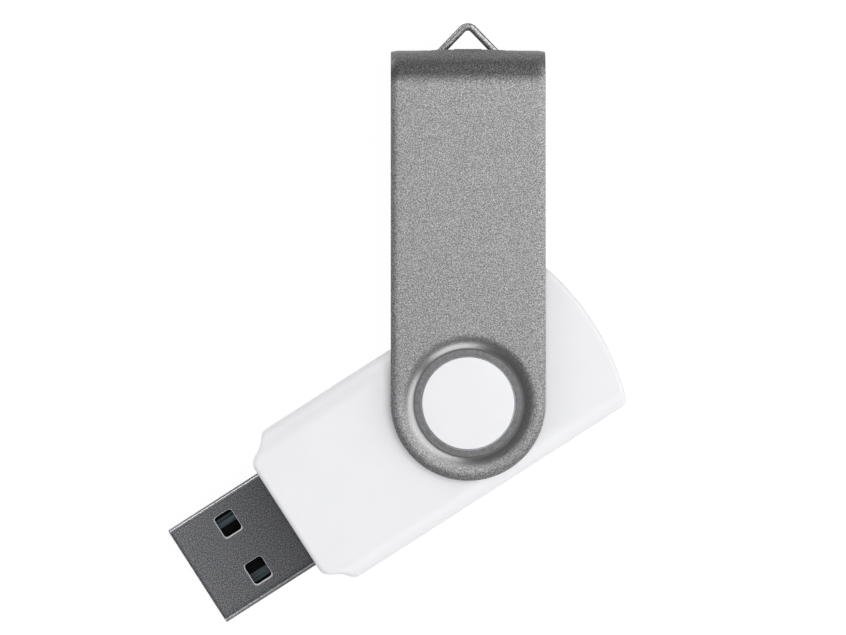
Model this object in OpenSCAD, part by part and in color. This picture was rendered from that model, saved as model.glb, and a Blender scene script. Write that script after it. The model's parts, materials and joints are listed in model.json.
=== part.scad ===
// Flash drive with a swivel clip, in millimetres.
// The drive lies along X with its plug towards -X. The swivel axis is Z through the origin,
// and the origin lies in the plane of the clip's lower face, on which the whole drive rests.

/* [Drive body] */
// Width of the body across the plug
body_w = 19.2; // [18:0.1:24]
// Thickness of the body between its two broad faces
body_t = 7.7; // [7:0.1:10]
// Distance from the swivel axis to the body's front face
body_front = 23.7; // [23:0.1:32]
// Distance from the swivel axis to the crown of the rear end
body_rear = 16.4; // [15:0.1:24]
// Radius of the curved rear end
rear_arc_r = 27.9; // [20:0.1:60]
// Radius along the body's long edges
side_round = 2.5; // [1.6:0.1:3]
// Wall thickness of both shell halves
wall = 1.2; // [1:0.05:1.4]
// Radius of the hollow scoop at each front corner
scoop_r = 3.4; // [2:0.1:5]
// Distance of a scoop's centre ahead of the front face
scoop_ahead = 0.4; // [0:0.1:1]
// Distance of a scoop's centre beyond the body's side
scoop_beside = 1.35; // [1.2:0.05:2.5]
// Width of the lip that locates the two shell halves
lip_w = 0.5; // [0.4:0.05:0.6]
// Height of that lip
lip_h = 0.6; // [0.4:0.05:1]
// Clearance around the lip in its groove
lip_clear = 0.05; // [0.03:0.01:0.1]
// Radius of the posts that join the shell halves
post_r = 1.1; // [1:0.05:1.3]
// Radius of the pin on each upper post
pin_r = 0.6; // [0.5:0.05:0.7]
// Length of the pin on each upper post
pin_len = 1.5; // [1:0.1:2]
// Clearance between a pin and its socket
pin_clear = 0.03; // [0.02:0.01:0.06]
// Distance from the front face back to the front posts
front_post_in = 3.4; // [2.6:0.1:5]
// Distance from the rear crown in to the rear posts
rear_post_in = 3.4; // [3:0.1:5]
// Distance of the rear posts from the centre line
rear_post_y = 5.5; // [4:0.1:6.5]

/* [Swivel] */
// Width of the clip, and the diameter of its round end
clip_w = 17; // [15:0.1:22]
// Thickness of the clip's sheet
sheet = 0.8; // [0.6:0.05:1]
// Outer radius of the bend at the clip's closed end
bend_r = 4; // [2:0.1:5]
// Corner radius of the clip's closed end
clip_corner_r = 0.4; // [0.2:0.1:1.5]
// Clearance between the body's broad face and each arm of the clip
arm_clear = 0.75; // [0.5:0.05:1.2]
// Running gap between the body's broad face and the floor of the pressed dish
dish_gap = 0.05; // [0.03:0.01:0.15]
// Width of the flat rim outside the pressed dish
dish_rim = 1.4; // [1:0.05:2.5]
// Width of the dish's sloping wall
dish_slope = 0.85; // [0.5:0.05:1.5]
// Width of the dish's flat floor around the hole
dish_floor = 1.15; // [0.6:0.05:2]
// Radial running gap between the boss and the hole in the clip
swivel_clear = 0.06; // [0.03:0.01:0.1]
// How far the boss stays below the clip's outer face
boss_sink = 0.15; // [0:0.05:0.3]
// Edge radius of the boss
boss_round = 0.4; // [0.2:0.05:0.5]
// Angle of the clip from square across the body (90 covers the plug)
clip_turn = -32.7; // [-90:0.1:90]

/* [Keyring loop] */
// Diameter of the loop's wire
wire_d = 0.8; // [0.6:0.05:1]
// Half the length of the loop's base, to its sharp corner
loop_half = 4.26; // [3.8:0.02:5]
// Slope of the loop's legs
leg_angle = 46; // [40:1:55]
// Centre-line radius of the bend at the loop's apex
apex_r = 0.84; // [0.6:0.02:1.2]
// Centre-line radius of the bends at the loop's base
foot_r = 0.5; // [0.45:0.05:0.8]
// Clearance where the two ends of the wire meet
wire_split = 0.1; // [0.05:0.05:0.4]
// Angle that the loop swings to each side
loop_swing = 45; // [20:1:50]
// Clearance between the wire and the strap that holds it
strap_gap = 0.15; // [0.1:0.05:0.3]
// Clearance around the swinging legs in the clip's windows
window_clear = 0.2; // [0.1:0.05:0.4]
// Clearance between the loop's wire and the passing corner of the plug
loop_clear = 1.12; // [0.5:0.05:4]

/* [Plug] */
// Width of the plug's metal shell
plug_w = 12; // [12:0.1:12.1]
// Thickness of the plug's metal shell
plug_t = 4.5; // [4.5:0.1:4.6]
// Length of the plug outside the body
plug_out = 11.8; // [11.5:0.1:14]
// Whole length of the plug's metal shell
plug_len = 18.6; // [17:0.1:20]
// Thickness of the shell's sheet
plug_sheet = 0.3; // [0.2:0.05:0.4]
// Outer corner radius of the shell
plug_corner_r = 0.6; // [0.5:0.05:0.9]
// Clearance between the plug and the body around it
plug_fit = 0.05; // [0.02:0.01:0.15]
// Size of a latch window across the plug
latch_w = 2.6; // [2:0.1:3]
// Size of a latch window along the plug
latch_l = 2.25; // [1.8:0.05:2.8]
// Corner radius of a latch window
latch_r = 0.35; // [0.1:0.05:0.6]
// Distance from the plug's tip to the middle of the latch windows
latch_in = 6.05; // [5:0.05:7]
// Distance of the latch windows from the centre line
latch_y = 3.07; // [2.8:0.01:3.3]
// Length of the two tabs that are soldered to the board
tab_len = 2.3; // [1.5:0.1:3]
// Height of those tabs
tab_h = 2.2; // [1.6:0.1:2.6]
// Clearance between the insulator and the shell around it
insulator_fit = 0.03; // [0.02:0.01:0.06]
// Distance from the plug's tip back to the tongue
tongue_in = 0.3; // [0.1:0.05:0.8]
// Length of the insulator's rear block, which fills the shell
block_len = 5.5; // [3:0.1:6.5]
// Width of a contact
contact_w = 1; // [0.8:0.05:1.2]
// Thickness of a contact
contact_t = 0.25; // [0.15:0.05:0.3]
// How far the contacts stand above the tongue
contact_proud = 0.05; // [0:0.01:0.1]
// Length of a contact's tail on the board
tail_len = 1.8; // [1:0.1:2.4]

/* [Board] */
// Thickness of the circuit board
board_t = 0.8; // [0.6:0.1:1]
// Clearance between the board's sides and the body's inner walls
board_side = 1.4; // [1.2:0.1:2]
// Clearance between the board and what stands at its ends
board_end = 0.2; // [0.1:0.05:0.4]
// Radius of the board's rear corners
board_corner_r = 1; // [0.3:0.1:2]
// Width of the rails that hold the board's edges
rail_w = 0.8; // [0.5:0.05:1]
// Clearance between the board and the upper rails
rail_clear = 0.05; // [0.02:0.01:0.1]

/* [Hidden] */
$fn = 96;

// Cuts reach this far past the faces that they open
over = 1;

// The drive's mid-plane above the resting face, which all other heights are counted from
mid_z = body_t / 2 + arm_clear + sheet;
cavity_z = body_t / 2 - wall;

// Plug: tip, rear edge and inner faces
tip_x = -body_front - plug_out;
plug_rear_x = tip_x + plug_len;
bore_w = plug_w - 2 * plug_sheet;
bore_t = plug_t - 2 * plug_sheet;
block_x = plug_rear_x - block_len;

// Contacts: distance from the centre line, and front end behind the plug's tip
contact_y = [3.5, 1, -1, -3.5];
outer_contact_in = 1.7;
inner_contact_in = 2.7;
contact_top = contact_proud;
contact_low = contact_proud - contact_t;

// Posts: at the front beside the plug, at the rear inside the curved end
front_post = [-body_front + front_post_in, plug_w / 2 + 0.15 + post_r];
rear_post = [body_rear - rear_post_in, rear_post_y];
post_sites = [for (site = [front_post, rear_post], side = [-1, 1]) [site[0], side * site[1]]];

// Board: its top carries the tails of the contacts
board_top = contact_low;
board_low = board_top - board_t;
board_front_x = plug_rear_x + board_end;
board_rear_x = rear_post[0] - post_r - board_end;
board_w = body_w - 2 * wall - 2 * board_side;
tab_y = plug_w / 2 - plug_sheet;
tab_gap = 0.1;

// Pressed dish of the clip, from the rim in to the hole
clip_h = 2 * mid_z;
dish_r = clip_w / 2 - dish_rim;
floor_r = dish_r - dish_slope;
hole_r = floor_r - dish_floor;
boss_r = hole_r - swivel_clear;
boss_top = mid_z - boss_sink;
arm_low = mid_z - sheet;
floor_low = body_t / 2 + dish_gap;
floor_top = floor_low + sheet;
slope_shift = sheet * tan(atan2(mid_z - floor_top, dish_slope) / 2);

// Keyring loop: distance of its base from the swivel axis, and the clip's end wall around it
wire_r = wire_d / 2;
loop_axis_y = norm([tip_x, plug_w / 2]) + loop_clear + wire_r;
wall_in = wire_r + strap_gap;
wall_out = wall_in + sheet;
clip_reach = loop_axis_y + wall_out;
foot_centre = [loop_half - foot_r * tan((180 - leg_angle) / 2), foot_r];
apex_centre = [0, loop_half * tan(leg_angle) - apex_r / cos(leg_angle)];
leg_normal = [sin(leg_angle), cos(leg_angle)];
leg_start = foot_centre + foot_r * leg_normal;
leg_end = apex_centre + apex_r * leg_normal;
wire_overlap = 0.05;
bend_swell = 0.01;

// Windows beside the strap, which let the legs swing
window_out = loop_half - wall_in / tan(leg_angle) + wire_r / sin(leg_angle) + window_clear;
window_in = loop_half - wall_out / cos(loop_swing) / tan(leg_angle)
    - wire_r * norm([1 / sin(leg_angle), tan(loop_swing) / tan(leg_angle)]) - window_clear;
window_z = wall_out * tan(loop_swing) + wire_r / cos(loop_swing) + window_clear;

// Memory chip under the board: body, standoff and gull-wing leads at both ends
flash_size = [18.4, 12, 1];
flash_x = board_rear_x - 10.4;
flash_leads = 24;
// Controller on top of the board, with leads on four sides
controller_size = [7, 7, 1.3];
controller_x = board_front_x + 8.6;
controller_leads_a_side = 12;
standoff = 0.1;
lead_pitch = 0.5;
lead_w = 0.2;
lead_t = 0.12;
lead_foot = 0.45;

// Crystal: a small can that lies across the board, with two wires bent down to it
crystal_r = 1;
crystal_len = 6;
crystal_x = controller_x + 7.5;
crystal_wire_r = 0.15;
crystal_wire_out = 0.7;
crystal_wire_y = 0.35;

// Regulator: three leads on one side, two on the other
regulator_size = [2.9, 1.6, 1];
regulator_at = [crystal_x + 4.6, 3.6];
regulator_reach = 0.6;
regulator_pitch = 0.95;

// Small parts on top of the board, placed from the controller's middle
capacitor_size = [1.6, 0.8, 0.8];
capacitor_sites = [[5.6, 4.4], [5.6, -4.4], [9.4, -3.4], [9.4, -5], [14.6, -3.2], [16.6, 3.4], [-4.9, 5]];
resistor_size = [0.8, 1.6, 0.45];
resistor_sites = [[-5.5, 1.8], [-5.5, -1.8], [12, -2.6], [12, -5], [9.8, 0.8]];
led_size = [0.8, 1.6, 0.6];
led_site = [17, 0];

// ---------------------------------------------------------------- shared shapes

module rounded_rect(w, h, r) {
    square([w - 2 * r, h], center = true);
    square([w, h - 2 * r], center = true);
    for (x = [-1, 1], y = [-1, 1])
        translate([x * (w / 2 - r), y * (h / 2 - r)])
            circle(r = r);
}

// Runs a section drawn across Y and Z from one X to another
module along_x(x0, x1)
    translate([x0, 0, 0])
        rotate([90, 0, 90])
            linear_extrude(x1 - x0)
                children();

// Block between its lowest and highest corners
module block(low, high)
    translate(low)
        cube(high - low);

// Lifts a shape drawn about the drive's mid-plane to its place
module lift()
    translate([0, 0, mid_z])
        children();

// A pair of copies, mirrored across the drive's length
module both_sides()
    for (side = [0, 1])
        mirror([0, side, 0])
            children();

// ---------------------------------------------------------------- body shells

// Outline of the body seen from above, drawn in by an inset
module body_plan(inset)
    difference() {
        intersection() {
            translate([-body_front + inset, -body_w / 2 + inset])
                square([body_front + body_rear, body_w - 2 * inset]);
            translate([body_rear - rear_arc_r, 0])
                circle(r = rear_arc_r - inset);
        }
        for (side = [-1, 1])
            translate([-body_front - scoop_ahead, side * (body_w / 2 + scoop_beside)])
                circle(r = scoop_r + inset);
    }

module body_solid(inset)
    intersection() {
        translate([0, 0, -body_t / 2])
            linear_extrude(body_t)
                body_plan(inset);
        along_x(-body_front, body_rear)
            rounded_rect(body_w - 2 * inset, body_t - 2 * inset, side_round - inset);
    }

// Slice of the body between two heights
module slab(z0, z1)
    block([-body_front - over, -body_w, z0], [body_rear + over, body_w, z1]);

module body_ring(outer, inner, z0, z1)
    intersection() {
        difference() {
            body_solid(outer);
            body_solid(inner);
        }
        slab(z0, z1);
    }

// Round boss on a broad face: the swivel pin of the clip
module boss() {
    height = boss_top - cavity_z;
    translate([0, 0, cavity_z])
        rotate_extrude() {
            square([boss_r, height - boss_round]);
            square([boss_r - boss_round, height]);
            translate([boss_r - boss_round, height - boss_round])
                circle(r = boss_round);
        }
}

module boss_core()
    cylinder(r = boss_r - wall, h = boss_top - wall);

// Room for the plug, through the front wall and as far as it reaches inside
module plug_passage()
    along_x(-body_front - over, plug_rear_x)
        rounded_rect(plug_w + 2 * plug_fit, plug_t + 2 * plug_fit, plug_corner_r);

// Posts that stand between a broad wall and the mid-plane
module posts()
    intersection() {
        for (site = post_sites)
            translate(site)
                cylinder(r = post_r, h = body_t / 2);
        body_solid(wall / 2);
    }

// Pads that grip the plug's broad face inside the body
module plug_pad()
    block([-body_front + 2.2, -4, plug_t / 2 + plug_fit], [-body_front + 4.6, 4, cavity_z + wall / 2]);

// Rails along the board's edges, from a height up to the broad wall
module rails(z0)
    both_sides()
        block(
            [board_front_x + 4, board_w / 2 - rail_w, z0],
            [board_rear_x - 1.4, board_w / 2, cavity_z + wall / 2]
        );

module upper_shell()
    color("white") lift()
        difference() {
            union() {
                body_ring(0, wall, 0, body_t);
                body_ring(wall - lip_w, wall, -lip_h, wall / 2);
                boss();
                posts();
                for (site = post_sites)
                    translate([site[0], site[1], -pin_len])
                        cylinder(r = pin_r, h = pin_len + pin_r);
                plug_pad();
                rails(board_top + rail_clear);
            }
            boss_core();
            plug_passage();
        }

module lower_shell()
    color("whitesmoke") lift()
        difference() {
            union() {
                body_ring(0, wall, -body_t, 0);
                mirror([0, 0, 1]) {
                    boss();
                    posts();
                    plug_pad();
                    rails(-board_low);
                }
            }
            body_ring(wall - lip_w - lip_clear, wall + lip_clear, -lip_h - lip_clear, over);
            for (site = post_sites)
                translate([site[0], site[1], -pin_len - pin_r / 2])
                    cylinder(r = pin_r + pin_clear, h = pin_len + over);
            mirror([0, 0, 1])
                boss_core();
            plug_passage();
        }

// ---------------------------------------------------------------- swivel clip

// Outline of the clip seen from above: round at the swivel, square at the closed end
module clip_plan() {
    circle(r = clip_w / 2);
    translate([-clip_w / 2, 0])
        square([clip_w, clip_reach - clip_corner_r]);
    translate([-clip_w / 2 + clip_corner_r, 0])
        square([clip_w - 2 * clip_corner_r, clip_reach]);
    for (side = [-1, 1])
        translate([side * (clip_w / 2 - clip_corner_r), clip_reach - clip_corner_r])
            circle(r = clip_corner_r);
}

// Side view of a folded strip: open towards the swivel, rounded at the closed end
module fold_section(reach, height, r) {
    translate([-clip_w, -height / 2])
        square([reach + clip_w - r, height]);
    translate([-clip_w, -height / 2 + r])
        square([reach + clip_w, height - 2 * r]);
    for (side = [-1, 1])
        translate([reach - r, side * (height / 2 - r)])
            circle(r = r);
}

// Dish pressed inwards around the boss, as a turned profile
module dish()
    rotate_extrude()
        polygon([
            [hole_r, floor_low],
            [floor_r + slope_shift, floor_low],
            [dish_r + slope_shift, arm_low],
            [dish_r + 2 * slope_shift, arm_low],
            [dish_r + 2 * slope_shift, mid_z],
            [dish_r, mid_z],
            [floor_r, floor_top],
            [hole_r, floor_top]
        ]);

module clip_window()
    block(
        [window_in, loop_axis_y + wall_in - over, -window_z],
        [window_out, clip_reach + over, window_z]
    );

module swivel_clip()
    color("gray") lift()
        rotate([0, 0, clip_turn]) {
            difference() {
                intersection() {
                    translate([0, 0, -mid_z])
                        linear_extrude(clip_h)
                            clip_plan();
                    along_x(-clip_w / 2, clip_w / 2)
                        difference() {
                            fold_section(clip_reach, clip_h, bend_r);
                            fold_section(clip_reach - sheet, clip_h - 2 * sheet, bend_r - sheet);
                        }
                }
                translate([0, 0, -clip_h])
                    cylinder(r = dish_r + slope_shift, h = 2 * clip_h);
                for (side = [0, 1])
                    mirror([side, 0, 0])
                        clip_window();
            }
            for (side = [0, 1])
                mirror([0, 0, side])
                    dish();
        }

// ---------------------------------------------------------------- keyring loop

module loop_bend(centre, r, start, turn)
    translate([centre[0], centre[1], 0])
        rotate_extrude(angle = turn, start = start)
            translate([r, 0])
                circle(r = wire_r + bend_swell, $fn = 32);

// Straight stretch of wire, which runs a little into the bends at its ends
module loop_straight(start, length, direction)
    translate([start[0], start[1], 0])
        rotate([0, 90, direction])
            translate([0, 0, -wire_overlap])
                cylinder(r = wire_r, h = length + 2 * wire_overlap, $fn = 32);

module loop_side() {
    loop_straight([wire_split / 2, 0], foot_centre[0] - wire_split / 2, 0);
    loop_bend(foot_centre, foot_r, -90, 180 - leg_angle);
    loop_straight(leg_start, norm(leg_end - leg_start), 180 - leg_angle);
}

module keyring_loop()
    color("silver") lift()
        rotate([0, 0, clip_turn])
            translate([0, loop_axis_y, 0]) {
                for (side = [0, 1])
                    mirror([side, 0, 0])
                        loop_side();
                loop_bend(apex_centre, apex_r, 90 - leg_angle, 2 * leg_angle);
            }

// ---------------------------------------------------------------- plug

module latch_windows()
    both_sides()
        translate([tip_x + latch_in, latch_y, -plug_t])
            linear_extrude(2 * plug_t)
                rounded_rect(latch_l, latch_w, latch_r);

module plug_shell()
    color("dimgray") lift() {
        difference() {
            along_x(tip_x, plug_rear_x)
                difference() {
                    rounded_rect(plug_w, plug_t, plug_corner_r);
                    rounded_rect(bore_w, bore_t, plug_corner_r - plug_sheet);
                }
            latch_windows();
        }
        both_sides()
            block(
                [plug_rear_x - plug_sheet, tab_y, -tab_h / 2],
                [plug_rear_x + tab_len, plug_w / 2, tab_h / 2]
            );
    }

// Channel of one contact through the insulator, open above the tongue
module contact_channel(y)
    for (part = [[tip_x, block_x, plug_t], [block_x - over, plug_rear_x + over, contact_top + insulator_fit]])
        block(
            [part[0], y - contact_w / 2 - insulator_fit, contact_low],
            [part[1], y + contact_w / 2 + insulator_fit, part[2]]
        );

module plug_insulator()
    color("black") lift()
        difference() {
            intersection() {
                along_x(tip_x + tongue_in, plug_rear_x - plug_sheet)
                    rounded_rect(
                        bore_w - 2 * insulator_fit,
                        bore_t - 2 * insulator_fit,
                        plug_corner_r - plug_sheet
                    );
                union() {
                    block([tip_x, -plug_w, -plug_t], [block_x, plug_w, 0]);
                    block([block_x, -plug_w, -plug_t], [plug_rear_x, plug_w, plug_t]);
                }
            }
            for (y = contact_y)
                contact_channel(y);
        }

// Flat contact: a spring strip on the tongue, with its tail on the board
module contact(y, front_in)
    color("slategray") lift()
        block(
            [tip_x + front_in, y - contact_w / 2, contact_low],
            [board_front_x + tail_len, y + contact_w / 2, contact_top]
        );

module vbus_contact() contact(contact_y[0], outer_contact_in);
module data_minus_contact() contact(contact_y[1], inner_contact_in);
module data_plus_contact() contact(contact_y[2], inner_contact_in);
module ground_contact() contact(contact_y[3], outer_contact_in);

// ---------------------------------------------------------------- board and solder

module circuit_board()
    color("darkgreen") lift()
        translate([0, 0, board_low])
            linear_extrude(board_t)
                difference() {
                    union() {
                        translate([board_front_x, -board_w / 2])
                            square([board_rear_x - board_front_x - board_corner_r, board_w]);
                        translate([board_front_x, -board_w / 2 + board_corner_r])
                            square([board_rear_x - board_front_x, board_w - 2 * board_corner_r]);
                        for (side = [-1, 1])
                            translate([
                                board_rear_x - board_corner_r,
                                side * (board_w / 2 - board_corner_r)
                            ])
                                circle(r = board_corner_r);
                    }
                    for (side = [0, 1])
                        mirror([0, side])
                            translate([board_front_x - over, tab_y - tab_gap])
                                square([
                                    plug_rear_x + tab_len + tab_gap - board_front_x + over,
                                    plug_sheet + 2 * tab_gap
                                ]);
                }

// Wedge of solder against an upright face, with its foot on the board
module solder_wedge(height, foot, length)
    rotate([90, 0, 0])
        translate([0, 0, -length / 2])
            linear_extrude(length)
                polygon([[0, 0], [foot, 0], [foot * 0.25, height * 0.35], [0, height]]);

// Joints between the shell's tabs and the board, inside the tabs
module plug_solder_joints()
    color("lightgray") lift()
        both_sides()
            translate([plug_rear_x + tab_len / 2 + board_end, tab_y, board_top])
                rotate([0, 0, -90])
                    solder_wedge(tab_h / 2 - board_top, 0.8, tab_len - 3 * board_end);

// Joints at the ends of the four contact tails
module contact_solder_joints()
    color("lightgray") lift()
        for (y = contact_y)
            translate([board_front_x + tail_len, y, board_top])
                solder_wedge(contact_t, 0.5, contact_w);

// ---------------------------------------------------------------- chips

// Gull-wing lead: leaves a package at X = 0 and stands on the board at Z = 0
module gull_wing(reach, rise, foot, t, w) {
    knee = (reach - foot) * 0.45;
    translate([0, w / 2, 0])
        rotate([90, 0, 0])
            linear_extrude(w)
                polygon([
                    [0, rise],
                    [knee, rise],
                    [reach - foot, 0],
                    [reach, 0],
                    [reach, t],
                    [reach - foot + t / 2, t],
                    [knee + t / 2, rise + t],
                    [0, rise + t]
                ]);
}

// Row of leads along Y
module lead_row(count, pitch, reach, rise, foot, t, w)
    for (i = [0 : count - 1])
        translate([0, (i - (count - 1) / 2) * pitch, 0])
            gull_wing(reach, rise, foot, t, w);

// Places a shape that is drawn on top of the board at Z = 0
module on_board(x, y)
    lift()
        translate([x, y, board_top])
            children();

// Places a shape that is drawn as on the board's top, on its underside
module under_board(x, y)
    lift()
        translate([x, y, board_low])
            mirror([0, 0, 1])
                children();

module package(size)
    block([-size[0] / 2, -size[1] / 2, standoff], [size[0] / 2, size[1] / 2, standoff + size[2]]);

module flash_chip()
    color("#222222") under_board(flash_x, 0)
        package(flash_size);

module flash_chip_leads()
    color("silver") under_board(flash_x, 0)
        for (side = [0, 1])
            mirror([side, 0, 0])
                translate([flash_size[0] / 2, 0, 0])
                    lead_row(
                        flash_leads, lead_pitch, 0.8,
                        standoff + flash_size[2] / 2, lead_foot, lead_t, lead_w
                    );

module controller_chip()
    color("#1c1c1c") on_board(controller_x, 0)
        package(controller_size);

module controller_leads()
    color("silver") on_board(controller_x, 0)
        for (quarter = [0 : 3])
            rotate([0, 0, 90 * quarter])
                translate([controller_size[0] / 2, 0, 0])
                    lead_row(
                        controller_leads_a_side, lead_pitch, 1,
                        standoff + controller_size[2] / 2, lead_foot, lead_t, lead_w
                    );

module crystal_can()
    color("lightsteelblue") on_board(crystal_x, 0)
        translate([0, crystal_len / 2, crystal_r])
            rotate([90, 0, 0])
                cylinder(r = crystal_r, h = crystal_len);

module crystal_leads()
    color("silver") on_board(crystal_x, crystal_len / 2)
        for (side = [-1, 1])
            translate([side * crystal_wire_y, 0, 0]) {
                translate([0, crystal_wire_out, 0])
                    cylinder(r = crystal_wire_r, h = crystal_r, $fn = 24);
                translate([0, crystal_wire_out, crystal_r])
                    sphere(r = crystal_wire_r, $fn = 24);
                translate([0, 0, crystal_r])
                    rotate([-90, 0, 0])
                        cylinder(r = crystal_wire_r, h = crystal_wire_out, $fn = 24);
            }

module voltage_regulator()
    color("#2a2a2a") on_board(regulator_at[0], regulator_at[1])
        package(regulator_size);

module regulator_leads()
    color("silver") on_board(regulator_at[0], regulator_at[1])
        for (row = [[1, 3, regulator_pitch], [-1, 2, 2 * regulator_pitch]])
            rotate([0, 0, row[0] * 90])
                translate([regulator_size[1] / 2, 0, 0])
                    lead_row(
                        row[1], row[2], regulator_reach,
                        standoff + regulator_size[2] / 2, regulator_reach / 2, lead_t, 2 * lead_w
                    );

// Small chip part that lies flat on the board
module chip_part(size, site)
    on_board(controller_x + site[0], site[1])
        block([-size[0] / 2, -size[1] / 2, 0], [size[0] / 2, size[1] / 2, size[2]]);

module capacitors()
    color("tan")
        for (site = capacitor_sites)
            chip_part(capacitor_size, site);

module resistors()
    color("#303038")
        for (site = resistor_sites)
            chip_part(resistor_size, site);

module status_led()
    color("lightyellow")
        chip_part(led_size, led_site);

lower_shell();
upper_shell();
swivel_clip();
keyring_loop();
plug_shell();
plug_insulator();
vbus_contact();
data_minus_contact();
data_plus_contact();
ground_contact();
circuit_board();
plug_solder_joints();
contact_solder_joints();
flash_chip();
flash_chip_leads();
controller_chip();
controller_leads();
crystal_can();
crystal_leads();
voltage_regulator();
regulator_leads();
capacitors();
resistors();
status_led();
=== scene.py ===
import json
import math

import bmesh
import bpy
import numpy as np
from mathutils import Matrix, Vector


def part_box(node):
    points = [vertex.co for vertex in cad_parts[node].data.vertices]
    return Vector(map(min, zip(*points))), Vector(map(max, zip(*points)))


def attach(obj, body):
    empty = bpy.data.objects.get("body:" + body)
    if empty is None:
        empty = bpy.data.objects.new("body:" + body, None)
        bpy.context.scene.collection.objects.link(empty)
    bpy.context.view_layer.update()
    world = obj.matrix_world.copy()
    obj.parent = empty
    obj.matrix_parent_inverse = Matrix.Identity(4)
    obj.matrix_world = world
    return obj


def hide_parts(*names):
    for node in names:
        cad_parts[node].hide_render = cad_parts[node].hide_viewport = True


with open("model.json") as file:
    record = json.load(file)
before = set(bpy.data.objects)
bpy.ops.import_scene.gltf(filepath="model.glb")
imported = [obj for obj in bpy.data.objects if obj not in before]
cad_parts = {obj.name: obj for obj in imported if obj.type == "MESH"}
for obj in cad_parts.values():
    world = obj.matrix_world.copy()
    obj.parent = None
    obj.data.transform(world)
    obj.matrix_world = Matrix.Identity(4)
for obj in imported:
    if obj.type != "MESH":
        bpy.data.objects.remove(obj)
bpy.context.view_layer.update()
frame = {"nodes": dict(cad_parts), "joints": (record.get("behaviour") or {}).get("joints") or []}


# Circuit board: a green laminate panel under the plug's solder tabs, held at its edges by
# rails in the two halves of the body. Its solder mask is printed over fine copper tracks.

mm = 0.001


def new_finish(name, color, roughness, metallic=0.0):
    """A material with one even colour and gloss, to which a section adds its own pattern."""
    finish = bpy.data.materials.new(name)
    finish.use_nodes = True
    shader = finish.node_tree.nodes["Principled BSDF"]
    shader.inputs["Base Color"].default_value = (*color, 1)
    shader.inputs["Roughness"].default_value = roughness
    shader.inputs["Metallic"].default_value = metallic
    return finish, shader


def node(finish, kind, inputs, **settings):
    """Adds a node; an input is either a plain value or the socket that feeds it."""
    made = finish.node_tree.nodes.new("ShaderNode" + kind)
    for key, value in settings.items():
        setattr(made, key, value)
    for key, value in inputs.items():
        if isinstance(value, bpy.types.NodeSocket):
            finish.node_tree.links.new(value, made.inputs[key])
        else:
            made.inputs[key].default_value = value
    return made


def place_in_mm(finish, stretch=(1, 1, 1)):
    """Object coordinates counted in millimetres, times a factor along each axis."""
    coords = node(finish, "TexCoord", {})
    scaled = node(finish, "Mapping", {
        "Vector": coords.outputs["Object"], "Scale": tuple(factor / mm for factor in stretch)})
    return scaled.outputs["Vector"]


def noise(finish, per_mm, detail=2.0, rough=0.5):
    """Cloudy pattern with about per_mm blobs in a millimetre."""
    made = node(finish, "TexNoise", {
        "Vector": place_in_mm(finish), "Scale": per_mm, "Detail": detail, "Roughness": rough})
    return made.outputs["Fac"]


def spread(finish, value, low, high, from_low=0.3, from_high=0.7):
    """Stretches a value's range, or the middle range of a pattern, to new limits."""
    made = node(finish, "MapRange", {
        "Value": value, "From Min": from_low, "From Max": from_high,
        "To Min": low, "To Max": high})
    return made.outputs["Result"]


def mixed(finish, factor, color_a, color_b, **settings):
    """Mixes two colours, each a plain one or the socket that gives it."""
    colors = [c if isinstance(c, bpy.types.NodeSocket) else (*c, 1) for c in (color_a, color_b)]
    mix = node(finish, "Mix", {0: factor, 6: colors[0], 7: colors[1]}, data_type="RGBA", **settings)
    return mix.outputs[2]


def shade_between(finish, shader, factor, color_a, color_b):
    """Colours the shader between two tones by a pattern."""
    color = mixed(finish, factor, color_a, color_b)
    finish.node_tree.links.new(color, shader.inputs["Base Color"])


def roughen(finish, shader, value):
    finish.node_tree.links.new(value, shader.inputs["Roughness"])


def emboss(finish, shader, height, depth_mm):
    """Raises the surface by a pattern, without moving its mesh."""
    bump = node(finish, "Bump", {"Height": height, "Distance": depth_mm * mm, "Strength": 1.0})
    finish.node_tree.links.new(bump.outputs["Normal"], shader.inputs["Normal"])


def laminate_finish():
    finish, shader = new_finish("board_laminate", (0.02, 0.14, 0.06), 0.35)
    tracks = node(finish, "TexBrick", {
        "Vector": place_in_mm(finish), "Scale": 1.0, "Mortar Size": 0.09,
        "Brick Width": 2.3, "Row Height": 0.7,
        "Color1": (0.02, 0.14, 0.06, 1), "Color2": (0.024, 0.155, 0.068, 1),
        "Mortar": (0.05, 0.24, 0.1, 1)})
    finish.node_tree.links.new(tracks.outputs["Color"], shader.inputs["Base Color"])
    emboss(finish, shader, noise(finish, 4.0), 0.01)
    return finish


def dress(name, finish):
    """Gives a carried-over node its finish."""
    piece = frame["nodes"][name]
    piece.data.materials.clear()
    piece.data.materials.append(finish)


dress("circuit_board", laminate_finish())


# Chips: the memory below the board, the controller and the small regulator above it. Each is
# a block of black moulded epoxy with tinned leads, soldered flat on the board.

def epoxy_finish():
    finish, shader = new_finish("chip_epoxy", (0.025, 0.025, 0.028), 0.6)
    shade_between(finish, shader, noise(finish, 9.0), (0.02, 0.02, 0.022), (0.034, 0.034, 0.038))
    emboss(finish, shader, noise(finish, 14.0), 0.01)
    return finish


def tinned_finish():
    finish, shader = new_finish("lead_tin", (0.6, 0.6, 0.62), 0.32, metallic=1.0)
    roughen(finish, shader, spread(finish, noise(finish, 5.0), 0.22, 0.42))
    emboss(finish, shader, noise(finish, 9.0), 0.004)
    return finish


chip_epoxy = epoxy_finish()
lead_tin = tinned_finish()
for name in ("flash_chip", "controller_chip", "voltage_regulator"):
    dress(name, chip_epoxy)
for name in ("flash_chip_leads", "controller_leads", "regulator_leads"):
    dress(name, lead_tin)


# Crystal: a drawn metal can lying across the board, with two tinned wires bent down to it.

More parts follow.
